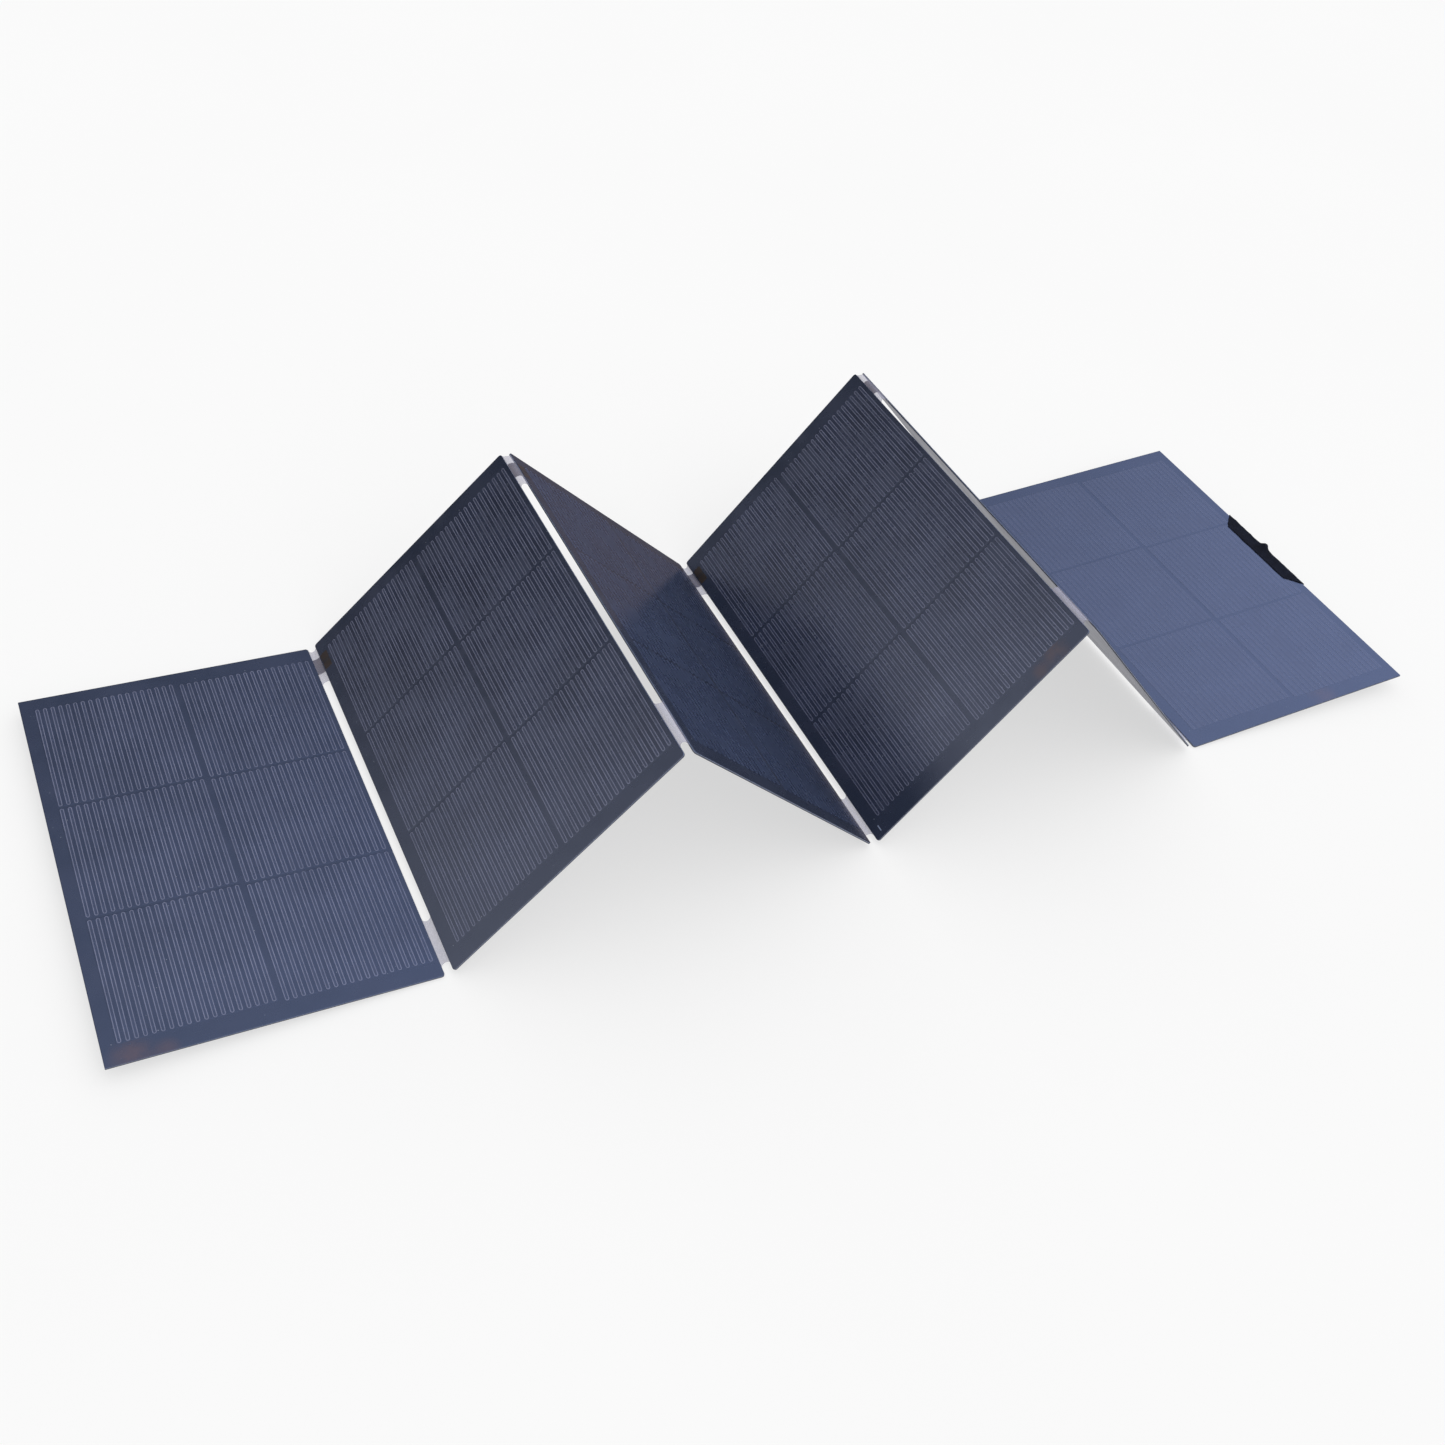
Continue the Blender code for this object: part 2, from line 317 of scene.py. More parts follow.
class Tree:
    """A material's node tree, with short ways to add what the finishes share."""

    def __init__(self, name):
        self.material = bpy.data.materials.new(name)
        self.material.use_nodes = True
        self.tree = self.material.node_tree
        self.shader = self.tree.nodes["Principled BSDF"]
        self.place = self.add("ShaderNodeTexCoord").outputs["Object"]

    def add(self, kind, **settings):
        node = self.tree.nodes.new(kind)
        for key, value in settings.items():
            setattr(node, key, value)
        return node

    def join(self, source, target):
        """Link an output to a socket, or set the socket to a value."""
        if hasattr(source, "is_output"):
            self.tree.links.new(source, target)
        else:
            target.default_value = source

    def set(self, **values):
        for name, value in values.items():
            self.shader.inputs[name.replace("_", " ")].default_value = value

    def math(self, operation, first, second, third=None):
        node = self.add("ShaderNodeMath", operation=operation)
        self.join(first, node.inputs[0])
        self.join(second, node.inputs[1])
        if third is not None:
            self.join(third, node.inputs[2])
        return node.outputs[0]

    def ramp(self, value, low, high, to_low=0.0, to_high=1.0):
        """A smooth step from to_low to to_high as the value goes from low to high."""
        node = self.add("ShaderNodeMapRange", clamp=True, interpolation_type="SMOOTHSTEP")
        for socket, number in zip(("Value", "From Min", "From Max", "To Min", "To Max"),
                                  (value, low, high, to_low, to_high)):
            self.join(number, node.inputs[socket])
        return node.outputs["Result"]

    def stretched(self, scale, turn=0.0):
        """The place, scaled by (x, y, z) after a turn about z."""
        node = self.add("ShaderNodeMapping")
        self.join(self.place, node.inputs["Vector"])
        node.inputs["Rotation"].default_value = (0.0, 0.0, turn)
        node.inputs["Scale"].default_value = scale
        return node.outputs["Vector"]

    def noise(self, scale, detail=3.0, rough=0.5, vector=None):
        node = self.add("ShaderNodeTexNoise")
        self.join(vector or self.place, node.inputs["Vector"])
        node.inputs["Scale"].default_value = scale
        node.inputs["Detail"].default_value = detail
        node.inputs["Roughness"].default_value = rough
        return node.outputs["Fac"]

    def specks(self, scale, size, share):
        """Sparse round dots: 1 inside a dot. share is how many cells hold one."""
        node = self.add("ShaderNodeTexVoronoi", feature="F1")
        self.join(self.place, node.inputs["Vector"])
        node.inputs["Scale"].default_value = scale
        spot = self.ramp(node.outputs["Distance"], size, size * 0.4)
        chosen = self.add("ShaderNodeSeparateColor")
        self.join(node.outputs["Color"], chosen.inputs[0])
        kept = self.ramp(chosen.outputs["Red"], 1 - share, 1 - share * 0.6)
        return self.math("MULTIPLY", spot, kept)

    def mix(self, factor, first, second):
        node = self.add("ShaderNodeMix", data_type="RGBA", blend_type="MIX")
        self.join(factor, node.inputs["Factor"])
        self.join(first, node.inputs["A"])
        self.join(second, node.inputs["B"])
        return node.outputs["Result"]

    def tint(self, base, mask, amount, colour):
        """Lay a colour over the base, by `amount` where the mask is 1."""
        return self.mix(self.math("MULTIPLY", mask, amount), base, colour)

    def bump(self, *heights):
        """Bumps added one after another: (height, strength, distance in metres)."""
        normal = None
        for height, strength, distance in heights:
            node = self.add("ShaderNodeBump")
            node.inputs["Strength"].default_value = strength
            node.inputs["Distance"].default_value = distance
            self.join(height, node.inputs["Height"])
            if normal is not None:
                self.join(normal, node.inputs["Normal"])
            normal = node.outputs["Normal"]
        self.join(normal, self.shader.inputs["Normal"])

    def gloss(self):
        """The shine of the clear film."""
        self.set(IOR=1.5, Specular_IOR_Level=0.95, Coat_Weight=0.30, Coat_Roughness=0.22)

    def wear(self, smooth, worn):
        """Roughness of the clear film, in patches."""
        return self.ramp(self.noise(55.0, detail=5.0, rough=0.6), 0.3, 0.75, smooth, worn)

    def ripple(self):
        """A bump for the film's slow waves."""
        return self.noise(45.0, detail=1.0), 0.25, 0.0006

    def finish(self, colour, roughness):
        self.join(colour, self.shader.inputs["Base Color"])
        self.join(roughness, self.shader.inputs["Roughness"])
        return self.material


def rgb(*colour):
    return (*colour, 1.0)


DUST = rgb(0.30, 0.32, 0.37)
RUST = rgb(0.115, 0.052, 0.030)


def film_finish(name, colour, second, stains=()):
    """Clear glossy film over something dark: cloudy colour, dust, hair scratches and stains.

    Each stain is (x, y, radius, strength), a rusty bloom under the film.
    """
    tree = Tree(name)
    clouds = tree.noise(28.0, detail=4.0, rough=0.55)
    grain = tree.noise(1500.0, detail=2.0)
    base = tree.mix(tree.ramp(clouds, 0.325, 0.675), colour, second)
    for x, y, radius, strength in stains:
        node = tree.add("ShaderNodeVectorMath", operation="DISTANCE")
        tree.join(tree.place, node.inputs[0])
        node.inputs[1].default_value = (x, y, FACE)
        near = tree.ramp(node.outputs["Value"], radius, radius * 0.15)
        patchy = tree.ramp(tree.noise(90.0, detail=4.0, rough=0.6), 0.15, 0.65)
        base = tree.tint(base, tree.math("MULTIPLY", near, patchy), strength, RUST)
    fine = tree.specks(420.0, size=0.14, share=0.08)
    coarse = tree.specks(120.0, size=0.060, share=0.08)
    marks = tree.math("MAXIMUM", fine, coarse)
    hairs = tree.noise(1.0, detail=2.0, vector=tree.stretched((30.0, 1300.0, 30.0), turn=0.7))
    hairs = tree.ramp(hairs, 0.77, 0.83)
    marks = tree.math("MAXIMUM", marks, tree.math("MULTIPLY", hairs, 0.25))
    base = tree.tint(base, marks, 0.6, DUST)
    rough = tree.math("MULTIPLY_ADD", marks, 0.06, tree.wear(0.22, 0.32))
    tree.bump(tree.ripple(), (grain, 0.05, 0.00004))
    tree.gloss()
    return tree.finish(base, rough)


def printed_finish(name, colour, second, scale):
    """Ink or silver under the film, a little uneven along its length."""
    tree = Tree(name)
    patchy = tree.noise(scale, detail=4.0, rough=0.6, vector=tree.stretched((3.0, 1.0, 1.0)))
    clouds = tree.noise(30.0)
    tone = tree.math("MULTIPLY_ADD", patchy, 0.6, tree.math("MULTIPLY", clouds, 0.5))
    base = tree.mix(tree.ramp(tone, 0.38, 0.72), colour, second)
    tree.bump(tree.ripple(), (patchy, 0.05, 0.00003))
    tree.gloss()
    return tree.finish(base, tree.wear(0.24, 0.34))


def edge_finish_with_painted_highlight():
    """The cut edge of the laminate: dark, with a pale blue-grey band where the clear films lie at
    the top, partly their own colour and partly a painted highlight.
    """
    tree = Tree("laminate_edge_painted_highlight")
    layers = tree.add("ShaderNodeSeparateXYZ")
    tree.join(tree.place, layers.inputs[0])
    # painted highlight: the upper part of the edge is made pale blue-grey, partly the films' own
    # colour
    pale = tree.ramp(layers.outputs["Z"], 0.00005, 0.00020)
    nicks = tree.noise(900.0, detail=4.0, rough=0.6)
    base = tree.mix(pale, rgb(0.030, 0.035, 0.055), rgb(0.26, 0.31, 0.44))
    base = tree.mix(tree.ramp(nicks, 0.45, 0.75, 0.0, 0.6), base, rgb(0.10, 0.11, 0.15))
    tree.bump((nicks, 0.4, 0.0001))
    return tree.finish(base, tree.ramp(nicks, 0.3, 0.7, 0.25, 0.45))


def back_finish():
    """Satin dark film with a fine pebbled emboss and a few scuffs."""
    tree = Tree("back_sheet")
    clouds = tree.noise(22.0, detail=4.0, rough=0.6)
    base = tree.mix(clouds, rgb(0.040, 0.043, 0.052), rgb(0.062, 0.066, 0.078))
    scuffs = tree.noise(1.0, detail=4.0, rough=0.6,
                        vector=tree.stretched((25.0, 420.0, 25.0), turn=0.35))
    scuffs = tree.ramp(scuffs, 0.66, 0.80)
    base = tree.tint(base, scuffs, 0.45, rgb(0.15, 0.155, 0.17))
    base = tree.tint(base, tree.specks(300.0, size=0.09, share=0.12), 0.5, DUST)
    pebbles = tree.add("ShaderNodeTexVoronoi", feature="SMOOTH_F1")
    tree.join(tree.place, pebbles.inputs["Vector"])
    pebbles.inputs["Scale"].default_value = 1900.0
    tree.bump((tree.noise(40.0, detail=1.0), 0.2, 0.0006),
              (pebbles.outputs["Distance"], 0.35, 0.00006))
    satin = tree.ramp(clouds, 0.3, 0.7, 0.32, 0.42)
    return tree.finish(base, tree.math("MULTIPLY_ADD", scuffs, 0.2, satin))


def tab_finish():
    """Milky clear film, greyed where it has been folded."""
    tree = Tree("hinge_film")
    clouds = tree.noise(150.0, detail=4.0, rough=0.6)
    lines = tree.noise(1.0, rough=0.6, vector=tree.stretched((900.0, 60.0, 900.0)))
    base = tree.mix(clouds, rgb(0.36, 0.37, 0.50), rgb(0.52, 0.48, 0.56))
    base = tree.mix(tree.ramp(lines, 0.5, 0.8, 0.0, 0.5), base, rgb(0.62, 0.64, 0.74))
    tree.bump((lines, 0.35, 0.0001), (clouds, 0.2, 0.0002))
    tree.set(IOR=1.48, Alpha=0.38, Coat_Weight=0.2, Coat_Roughness=0.12)
    return tree.finish(base, tree.ramp(clouds, 0.3, 0.7, 0.20, 0.36))


def copper_finish(name, colour, second, metal):
    """Tarnished copper, as bare metal or seen through the film."""
    tree = Tree(name)
    tarnish = tree.noise(260.0, detail=5.0, rough=0.65)
    brushed = tree.noise(1.0, detail=2.0, vector=tree.stretched((60.0, 2600.0, 60.0)))
    base = tree.mix(tree.ramp(tarnish, 0.35, 0.65), colour, second)
    base = tree.mix(tree.ramp(brushed, 0.3, 0.7, 0.0, 0.35), base, rgb(0.05, 0.035, 0.025))
    tree.bump((brushed, 0.3, 0.00004), (tarnish, 0.2, 0.0001))
    tree.set(Metallic=metal, Coat_Weight=0.35, Coat_Roughness=0.12)
    return tree.finish(base, tree.ramp(tarnish, 0.3, 0.7, 0.30, 0.48))


def cloth_finish():
    """Black cloth tape: crossed threads, a soft sheen, lint and worn high spots."""
    tree = Tree("cloth_tape")
    threads = []
    for direction in ("X", "Y"):
        wave = tree.add("ShaderNodeTexWave", wave_type="BANDS", bands_direction=direction)
        tree.join(tree.place, wave.inputs["Vector"])
        wave.inputs["Scale"].default_value = 560.0
        wave.inputs["Distortion"].default_value = 0.6
        wave.inputs["Detail"].default_value = 1.0
        threads.append(wave.outputs["Fac"])
    weave = tree.math("MULTIPLY", *threads)
    clouds = tree.noise(180.0, detail=5.0, rough=0.6)
    base = tree.mix(weave, rgb(0.0028, 0.003, 0.006), rgb(0.010, 0.011, 0.019))
    base = tree.mix(tree.ramp(clouds, 0.55, 0.8, 0.0, 0.35), base, rgb(0.022, 0.024, 0.034))
    base = tree.tint(base, tree.specks(700.0, size=0.10, share=0.06), 0.4,
                     rgb(0.10, 0.10, 0.12))
    tree.bump((clouds, 0.3, 0.0003), (weave, 0.7, 0.00012))
    tree.set(Sheen_Weight=0.02, Sheen_Roughness=0.5, Specular_IOR_Level=0.12)
    return tree.finish(base, tree.ramp(clouds, 0.3, 0.7, 0.62, 0.85))


STAINS = {
    1: ((0.012, -0.1175, 0.013, 0.60), (0.026, -0.1185, 0.008, 0.4)),
    4: ((0.132, -0.1150, 0.010, 0.55), (0.120, -0.1165, 0.007, 0.4)),
    6: ((0.095, -0.1150, 0.012, 0.35),),
}
BORDER = rgb(0.015, 0.021, 0.040)
BORDER_2 = rgb(0.021, 0.027, 0.050)


def print_set(name, cell, band, line, spread=1.3):
    """A leaf's three finishes: cell film, printed band and grid line.

    Each varies between its colour and the same colour times the spread.
    """
    def pair(colour):
        return rgb(*colour), rgb(*(value * spread for value in colour))
    return (film_finish(f"cell_film_{name}", *pair(cell)),
            printed_finish(f"cell_band_{name}", *pair(band), 160.0),
            printed_finish(f"grid_line_{name}", *pair(line), 220.0))


PLAIN_PRINT = print_set("plain", (0.014, 0.019, 0.038), (0.020, 0.026, 0.050),
                        (0.120, 0.126, 0.180), 1.5)
# Lit and shaded copies of the plain set: leaf 3's darker, bluer set is painted shade, and leaf 6's
# lighter set with fainter lines is painted light.
PRINTS_PAINTED_LIT_AND_SHADED = {
    3: print_set("painted_shade", (0.003, 0.007, 0.024), (0.007, 0.014, 0.040), (0.078, 0.102, 0.180)),
    6: print_set("faint", (0.025, 0.031, 0.056), (0.034, 0.040, 0.068),
                 (0.058, 0.064, 0.098), 1.2),
}
# the laminate's edges and the small pale mark on leaf 4, both partly painted highlight
EDGE_FINISH_WITH_PAINTED_HIGHLIGHT = edge_finish_with_painted_highlight()
BACK_FINISH = back_finish()
TAB_FINISH = tab_finish()
RIBBON_FINISH = copper_finish("ribbon", rgb(0.030, 0.018, 0.012), rgb(0.065, 0.038, 0.026), 0.2)
PAD_FINISH = copper_finish("ribbon_under_film", rgb(0.038, 0.026, 0.015),
                           rgb(0.055, 0.034, 0.020), 0.3)
PAD_GAP_FINISH = copper_finish("ribbon_gap", rgb(0.018, 0.018, 0.020),
                               rgb(0.028, 0.024, 0.022), 0.2)
TERMINAL_FINISH = copper_finish("terminal", rgb(0.42, 0.24, 0.13), rgb(0.55, 0.36, 0.22), 1.0)
CLOTH_FINISH = cloth_finish()


# ---------------------------------------------------------------- leaves

def strip_span(index):
    """A cell strip's low x and its shift along the creases."""
    return LEFT_BORDER + index * (STRIP_WIDTH + STRIP_SPACING), STAGGER * (0.5 - index)


def rows(shift):
    """The low and high y of each row of cells in a strip, from the far side."""
    length = (LEAF_LENGTH - FAR_BORDER - NEAR_BORDER - (ROWS - 1) * ROW_GAP) / ROWS
    for row in range(ROWS):
        high = HALF - FAR_BORDER + shift - row * (length + ROW_GAP)
        yield high - length, high


def add_laminate(number):
    """The bonded sheets with the clear face, and the back sheet with its low steps."""
    left = FREE_CORNER if number == 1 else CORNER
    right = FREE_CORNER if number == LEAF_COUNT else CORNER
    border = film_finish(f"border_film_{number}", BORDER, BORDER_2, STAINS.get(number, ()))
    low_x = 0.0 if number == 1 else -EDGE_REACH
    high_x = LEAF_WIDTH if number == LEAF_COUNT else LEAF_WIDTH + EDGE_REACH

    def outline(inset):
        return rounded(low_x, high_x, -HALF, HALF, left, right, inset)

    body = Shape()
    rounded_plate(body, outline, BACK_TOP, FACE, LAMINATE_BEVEL, side=1, top=0, bottom=1,
                  under=False)
    add_piece(f"leaf_{number}_laminate", body, [border, EDGE_FINISH_WITH_PAINTED_HIGHLIGHT], number,
              (f"front_film_{number}", f"cell_link_{number}"))

    back = Shape()
    rounded_plate(back, outline, BACK_LOW, BACK_TOP, BACK_BEVEL)
    for index in (0, 1):
        x, shift = strip_span(index)
        add_step(back, x + STRIP_STEP_INSET, x + STRIP_WIDTH - STRIP_STEP_INSET,
                 NEAR_BORDER - HALF + shift, HALF - FAR_BORDER + shift, STRIP_STEP)
    ribbon_y = HALF - RIBBON_FROM_FAR
    add_step(back, RIBBON_STEP_INSET, LEAF_WIDTH - RIBBON_STEP_INSET,
             ribbon_y - RIBBON_WIDTH / 2, ribbon_y + RIBBON_WIDTH / 2, RIBBON_STEP)
    add_piece(f"leaf_{number}_back_sheet", back, [BACK_FINISH], number,
              (f"back_film_{number}",))


def add_step(back, low_x, high_x, low_y, high_y, height):
    """A low step on the underside, over what lies inside the laminate."""
    def outline(inset):
        return rounded(low_x, high_x, low_y, high_y, STEP_CORNER, STEP_CORNER, inset, 3)
    top = back.loop(outline(0.0), BACK_LOW + PRINT_SINK)
    loops = [back.loop(outline(inset), BACK_LOW - height * share)
             for inset, share in STEP_PROFILE]
    for lower, upper in zip(loops, loops[1:] + [top]):
        back.wall(lower, upper)
    back.face(reversed(loops[0]))
    back.face(top)


def add_cells(number):
    """Two strips of cells, with their printed bands and grid lines."""
    # leaves 3 and 6 take the painted shade and painted light copies of the print set
    cell_finish, band_finish, line_finish = PRINTS_PAINTED_LIT_AND_SHADED.get(number, PLAIN_PRINT)
    bands = Shape()
    lines = Shape()
    for index, side in enumerate(("left", "right")):
        low_x, shift = strip_span(index)
        pairs = PAIRS - (number == LEAF_COUNT and side == "right")
        high_x = low_x + STRIP_WIDTH - (PAIRS - pairs) * PAIR_PITCH
        middles = [low_x + PAIR_INSET + pair * PAIR_PITCH for pair in range(pairs)]
        cells = Shape()
        for low_y, high_y in rows(shift):
            def outline(inset, box=(low_x, high_x, low_y, high_y)):
                return rounded(*box, CELL_CORNER, CELL_CORNER, inset, 2)
            rounded_plate(cells, outline, FACE - PLATE_SINK, CELL_FACE, PLATE_BEVEL, under=False)
            for x in middles:
                add_pair(bands, lines, x, low_y + PAIR_END, high_y - PAIR_END)
        near_end = NEAR_BORDER - HALF + shift
        low_dot, high_dot = (near_end - distance for distance in DOT_SPAN)
        for x in middles:
            for offset in (-DOT_OFFSET, DOT_OFFSET):
                dot = racetrack(x + offset, low_dot, high_dot, DOT_RADIUS)
                bands.raised(dot, FACE - PRINT_SINK, CELL_FACE)
        # painted light: a small pale mark in the edge finish on leaf 4, standing for a slit of
        # light
        if number == LIGHT_MARK_LEAF and side == "left":
            painted_light_mark = racetrack(LIGHT_MARK_X, LIGHT_MARK_SPAN[0] - HALF, LIGHT_MARK_SPAN[1] - HALF, LIGHT_MARK_RADIUS)
            cells.raised(painted_light_mark, FACE - PRINT_SINK, CELL_FACE, 1)
        add_piece(f"leaf_{number}_cells_{side}", cells, [cell_finish, EDGE_FINISH_WITH_PAINTED_HIGHLIGHT], number,
                  (f"cell_strip_{number}_{side}",))
    add_piece(f"leaf_{number}_cell_bands", bands, [band_finish], number)
    add_piece(f"leaf_{number}_grid_lines", lines, [line_finish], number)


def add_pair(bands, lines, x, low_y, high_y):
    """One printed loop: a faint band and the two bright lines along its sides."""
    middle = LINE_SPREAD / 2
    bands.raised(racetrack(x, low_y, high_y, middle), FACE - PRINT_SINK, BAND_FACE)
    outer = racetrack(x, low_y, high_y, middle + LINE_WIDTH / 2)
    inner = racetrack(x, low_y + LINE_WIDTH, high_y - LINE_WIDTH, middle - LINE_WIDTH / 2)
    foot = CELL_FACE - PLATE_SINK
    loops = [lines.loop(outer, foot), lines.loop(outer, LINE_FACE),
             lines.loop(inner, LINE_FACE), lines.loop(inner, foot)]
    for first, second in zip(loops, loops[1:] + loops[:1]):
        lines.wall(first, second)


def add_ribbon_pad(number):
    """The ribbon's end as it shows through the left border: two joints and the gap between."""
    pad = Shape()
    middle = HALF - RIBBON_FROM_FAR
    half = RIBBON_WIDTH / 2
    lap = PAD_GAP + PAD_LAP
    blocks = ((middle - half, middle - PAD_GAP, BAND_FACE, 0),
              (middle + PAD_GAP, middle + half, BAND_FACE, 0),
              (middle - lap, middle + lap, CELL_FACE, 1))
    for low_y, high_y, top, slot in blocks:
        def outline(inset, box=(PAD_LEFT, PAD_RIGHT, low_y, high_y)):
            return rounded(*box, *PAD_CORNERS, inset, 3)
        rounded_plate(pad, outline, FACE - PLATE_SINK, top, PLATE_BEVEL, slot, slot, slot,
                      under=False)
    add_piece(f"leaf_{number}_ribbon_end", pad, [PAD_FINISH, PAD_GAP_FINISH], number,
              (f"bus_ribbon_{number}",))


# ---------------------------------------------------------------- hinges

def hinge_curve(hinge):
    """The film's path from inside one leaf to inside the next: points, normals and travel.

    The travel is the distance from the crease with the hinge laid flat.
    """
    u1, n1 = axes(hinge)
    u2, n2 = axes(hinge + 1)
    start = PLACES[hinge] @ Vector((LEAF_WIDTH, 0.0, 0.0))
    end = PLACES[hinge + 1] @ Vector((0.0, 0.0, 0.0))
    fold = math.radians(abs(LEAF_SLOPES[hinge] - LEAF_SLOPES[hinge - 1]))
    arm = HINGE_GAP / 2 + CREASE_OFFSET * math.tan(fold / 2)
    handle = HINGE_FULLNESS * arm
    controls = (start, start + u1 * handle, end - u2 * handle, end)

    def weighed(weights):
        return sum((control * weight for control, weight in zip(controls, weights)), Vector())

    roots = (HINGE_ROOT, HINGE_ROOT * 0.4)
    path = [(start - u1 * root, n1, -HINGE_GAP / 2 - root) for root in roots]
    for step in range(HINGE_STEPS + 1):
        t = step / HINGE_STEPS
        point = weighed(((1 - t) ** 3, 3 * t * (1 - t) ** 2, 3 * t * t * (1 - t), t ** 3))
        along = weighed((-3 * (1 - t) ** 2, 3 * (1 - t) ** 2 - 6 * t * (1 - t),
                         6 * t * (1 - t) - 3 * t * t, 3 * t * t)).normalized()
        path.append((point, Vector((-along.z, 0.0, along.x)), HINGE_GAP * (t - 0.5)))
    path += [(end + u2 * root, n2, HINGE_GAP / 2 + root) for root in reversed(roots)]
    return path, start, end


def bent_sheet(name, path, edges, thickness, material, across):
    """A closed sheet that follows the path. edges(travel) gives its low and high y."""
    shape = Shape()
    layers = []
    for side in (1, -1):
        grid = []
        for point, normal, travel in path:
            low, high = edges(travel)
            place = point + normal * (side * thickness / 2)
            row = []
            for step in range(across + 1):
                row.append(len(shape.points))
                shape.points.append((place.x, low + (high - low) * step / across, place.z))
            grid.append(row)
        layers.append(grid)
    shape.sheet(*layers)
    return make(name, shape, [material], None, 50)


def add_hinge(hinge):
    """Two film tabs and the copper ribbon that bend across a crease."""
    radius = HINGE_GAP / 2 - EDGE_REACH
    path, start, end = hinge_curve(hinge)
    for end_name, low, high in TABS:
        def edges(travel, low=low, high=high):
            spread = radius - math.sqrt(max(radius ** 2 - travel ** 2, 0.0))
            return low - spread, high + spread
        name = f"hinge_{hinge}_{end_name}_film"
        film = bent_sheet(name, path, edges, HINGE_FILM, TAB_FINISH, 14)
        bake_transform(film)
        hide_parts(f"{name}_left", f"{name}_right")

    def ribbon_edges(_travel):
        middle = HALF - RIBBON_FROM_FAR
        return middle - RIBBON_WIDTH / 2, middle + RIBBON_WIDTH / 2

    ribbon = bent_sheet(f"hinge_{hinge}_ribbon", path, ribbon_edges, HINGE_COPPER,
                        RIBBON_FINISH, 8)
    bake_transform(ribbon)
    if hinge == 1:
        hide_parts("bus_ribbon_1")


# ---------------------------------------------------------------- cloth tape

def bell(value, width):
    return math.exp(-(value / width) ** 2)


def add_tape():
    """Cloth tape folded round the last leaf's free edge, with cut corners and a pinched crease."""
    arc = math.pi * TAPE_WRAP
    total = 2 * TAPE_FLAP + arc

    def section(s):
        """x, z and outward normal at distance s along the tape's width."""
        if s < TAPE_FLAP:
            return LEAF_WIDTH - TAPE_FLAP + s, TAPE_WRAP, (0.0, 1.0)
        if s > TAPE_FLAP + arc:
            return LEAF_WIDTH + total - TAPE_FLAP - s, -TAPE_WRAP, (0.0, -1.0)
        turn = (s - TAPE_FLAP) / TAPE_WRAP
        return (LEAF_WIDTH + TAPE_WRAP * math.sin(turn), TAPE_WRAP * math.cos(turn),
                (math.sin(turn), math.cos(turn)))

    def spot(s, v, side):
        """A point of the tape's outer (side 1) or inner skin. v is -1 to 1 along the edge."""
        x, z, (nx, nz) = section(s)
        near_fold = bell(s - total / 2, 0.0032)
        from_fold = min(abs(s - total / 2) / (total / 2), 1.0)
        half = (TAPE_OUTER / 2) * (1 - from_fold) + (TAPE_INNER / 2) * from_fold
        half += 0.0009 * noise.noise(Vector((s * 420, 3.1 if v > 0 else 9.7, 0.5)))
        y = v * half
        edge_wave = 0.00035 * noise.noise(Vector((y * 130, 0.0, 4.0))) * from_fold
        ripple = noise.noise(Vector((x * 260, y * 260, 2.0 if z > 0 else 7.0)))
        crumple = noise.noise(Vector((x * 90, y * 120, 5.0 if z > 0 else 8.0)))
        lift = (0.00010 + 0.00010 * ripple * (0.4 + near_fold)
                + 0.00018 * max(crumple, 0) * near_fold)
        ridge = bell(y - PINCH, 0.0020 if y > PINCH else 0.0034)
        valley = bell(y - PINCH + 0.0046, 0.0024)
        top = 1.0 if z >= 0 else 0.35
        lift += (0.0013 * ridge - 0.00005 * valley) * (near_fold ** 0.6) * top
        out = (0.0016 * ridge * near_fold
               + 0.00055 * near_fold * noise.noise(Vector((y * 210, 1.0, 1.0))))
        offset = lift + side * TAPE_HALF_THICKNESS
        x += nx * offset + out
        z += nz * offset
        if s < TAPE_FLAP * 0.12 or s > total - TAPE_FLAP * 0.12:
            x -= edge_wave
        return x, y + TAPE_CENTRE, z

    shape = Shape()
    layers = []
    for side in (1, -1):
        grid = []
        for i in range(TAPE_ACROSS + 1):
            row = []
            for j in range(TAPE_ALONG + 1):
                row.append(len(shape.points))
                shape.points.append(spot(total * i / TAPE_ACROSS, 2 * j / TAPE_ALONG - 1, side))
            grid.append(row)
        layers.append(grid)
    shape.sheet(*layers)
    add_piece("edge_tape_cloth", shape, [CLOTH_FINISH], LEAF_COUNT,
              ("edge_tape",), 60)


# ---------------------------------------------------------------- stage

def add_floor():
    """A pale table that glows a little, so that shadows on it stay light."""
    shape = Shape()
    shape.face(shape.loop([(-6, -6), (6, -6), (6, 6), (-6, 6)], 0.0))
    tree = Tree("floor")
    base = tree.mix(tree.noise(3.0), rgb(0.34, 0.34, 0.34), rgb(0.36, 0.36, 0.36))
    tree.set(Specular_IOR_Level=0.0, Emission_Color=rgb(1.0, 1.0, 1.0), Emission_Strength=0.61)
    floor = make("floor", shape, [tree.finish(base, 0.9)])
    floor.visible_glossy = False


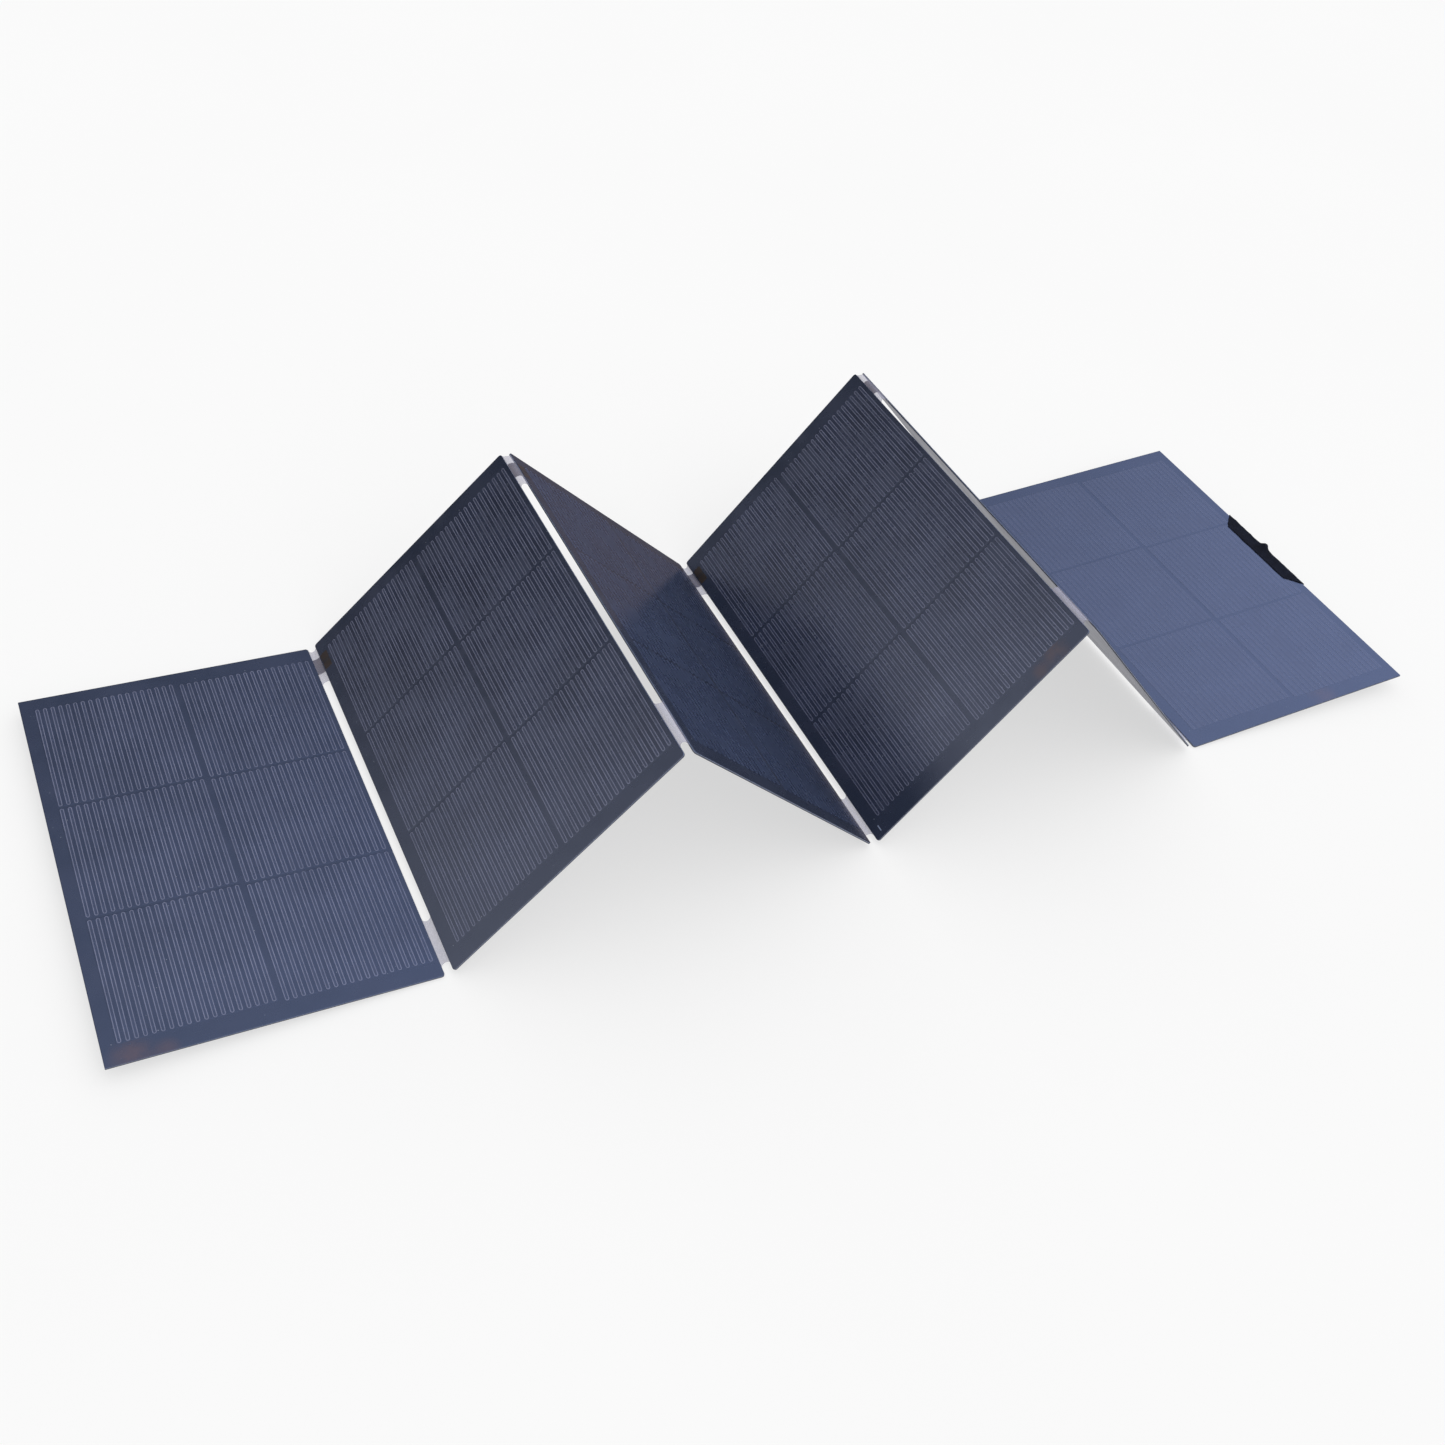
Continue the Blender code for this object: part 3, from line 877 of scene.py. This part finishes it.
# What a glossy surface mirrors above the horizon, by how far to the right it looks: (x, colour)
MIRRORED = (
    (-1.00, rgb(0.40, 0.44, 0.57)),
    (-0.76, rgb(0.42, 0.46, 0.60)),
    (-0.70, rgb(0.28, 0.31, 0.41)),
    (-0.66, rgb(0.08, 0.09, 0.13)),
    (-0.60, rgb(0.05, 0.06, 0.09)),
    (-0.45, rgb(0.05, 0.06, 0.10)),
    (0.07, rgb(0.225, 0.290, 0.500)),
    (0.61, rgb(0.286, 0.370, 0.680)),
    (1.00, rgb(0.34, 0.44, 0.80)),
)
MIRRORED_LOW = rgb(0.135, 0.115, 0.135)
MIRRORED_TABLE = rgb(0.85, 0.85, 0.90)  # for surfaces that face almost straight down
WHITE = rgb(1.0, 1.0, 1.0)
BACKDROP = rgb(0.96, 0.96, 0.96)


def add_world():
    """An even white dome for soft light, a bluer one that only glossy surfaces mirror, and a
    plain backdrop for the camera."""
    world = bpy.data.worlds.new("studio")
    bpy.context.scene.world = world
    world.use_nodes = True
    tree = world.node_tree
    nodes, links = tree.nodes, tree.links
    nodes.clear()

    def join(source, target):
        if hasattr(source, "is_output"):
            links.new(source, target)
        else:
            target.default_value = source

    def ranged(value, low, high, to_low, to_high):
        node = nodes.new("ShaderNodeMapRange")
        for socket, number in zip(("Value", "From Min", "From Max", "To Min", "To Max"),
                                  (value, low, high, to_low, to_high)):
            join(number, node.inputs[socket])
        return node.outputs["Result"]

    def background(colour, strength=1.0):
        node = nodes.new("ShaderNodeBackground")
        join(colour, node.inputs["Color"])
        join(strength, node.inputs["Strength"])
        return node.outputs[0]

    def pick(factor, first, second):
        node = nodes.new("ShaderNodeMixShader")
        for source, target in zip((factor, first, second), node.inputs):
            join(source, target)
        return node.outputs[0]

    direction = nodes.new("ShaderNodeSeparateXYZ")
    join(nodes.new("ShaderNodeTexCoord").outputs["Generated"], direction.inputs[0])
    right, away, up = direction.outputs
    mirrored = nodes.new("ShaderNodeValToRGB")
    stops = mirrored.color_ramp.elements
    while len(stops) < len(MIRRORED):
        stops.new(0.5)
    for stop, (x, colour) in zip(stops, MIRRORED):
        stop.position = (x + 1) / 2
        stop.color = colour
    join(ranged(right, -1.0, 1.0, 0.0, 1.0), mirrored.inputs["Fac"])
    strength = nodes.new("ShaderNodeMath")
    strength.operation = "MULTIPLY"
    join(ranged(up, 0.0, 1.0, 1.1, 2.6), strength.inputs[0])
    join(ranged(away, 0.5, 0.8, 1.40, 0.15), strength.inputs[1])
    upper = background(mirrored.outputs["Color"], strength.outputs[0])
    lower = pick(ranged(up, -0.60, -0.48, 1.0, 0.0), background(MIRRORED_LOW),
                 background(MIRRORED_TABLE))
    dome = pick(ranged(up, -0.04, 0.06, 0.0, 1.0), lower, upper)
    soft = background(WHITE, ranged(right, -1.0, 1.0, 0.45, 1.55))
    ray = nodes.new("ShaderNodeLightPath").outputs
    shown = pick(ray["Is Glossy Ray"], soft, dome)
    shown = pick(ray["Is Camera Ray"], shown, background(BACKDROP))
    join(shown, nodes.new("ShaderNodeOutputWorld").inputs["Surface"])


def add_camera():
    data = bpy.data.cameras.new("camera")
    data.lens = CAMERA_LENS
    data.sensor_width = 36.0
    camera = bpy.data.objects.new("camera", data)
    camera.location = CAMERA_PLACE
    camera.rotation_euler = Euler([math.radians(angle) for angle in CAMERA_TURN])
    bpy.context.scene.collection.objects.link(camera)
    bpy.context.scene.camera = camera


bpy.context.scene.view_settings.view_transform = "Standard"
add_camera()
add_world()
add_floor()
for leaf in range(1, LEAF_COUNT + 1):
    add_laminate(leaf)
    add_cells(leaf)
    if leaf > 1:
        add_ribbon_pad(leaf)
        add_hinge(leaf - 1)
add_tape()
for terminal in ("output_terminal_positive", "output_terminal_negative"):
    frame["nodes"][terminal].data.materials.clear()
    frame["nodes"][terminal].data.materials.append(TERMINAL_FINISH)
